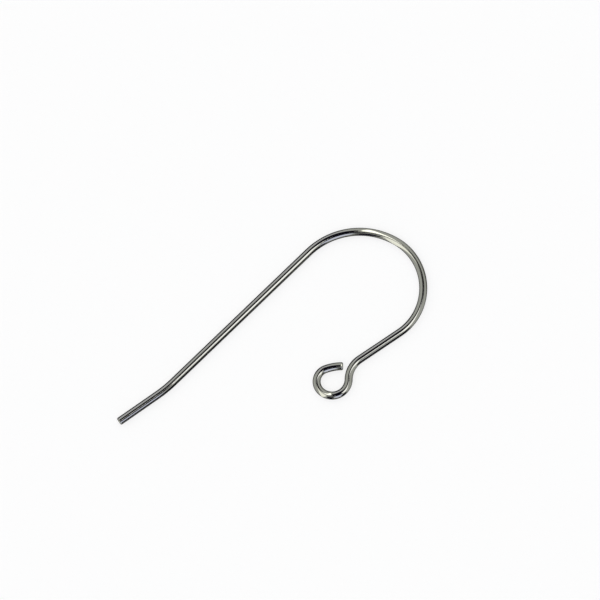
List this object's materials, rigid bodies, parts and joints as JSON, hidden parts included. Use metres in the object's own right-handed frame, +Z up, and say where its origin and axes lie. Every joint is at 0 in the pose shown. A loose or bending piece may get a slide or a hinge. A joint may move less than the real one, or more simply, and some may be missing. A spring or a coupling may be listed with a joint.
{
  "type": "ear wire",
  "caption": "Hook-shaped ear wire of polished round wire: long shank with a slightly turned tail, wide bow, short leg and an open turned eye that carries a drop.",
  "frame": {"origin": "on the surface that the wire lies on, below the middle of its outline", "axes": "+Y along the shank towards the bow, +X from the shank towards the leg and the eye, +Z up from the surface"},
  "size_m": [0.0124, 0.029, 0.0007],
  "materials": {
    "polished_wire": "drawn stainless steel wire, tumbled to a bright polish"
  },
  "bodies": {
    "root": {"ear_wire": "polished_wire"}
  },
  "joints": []
}
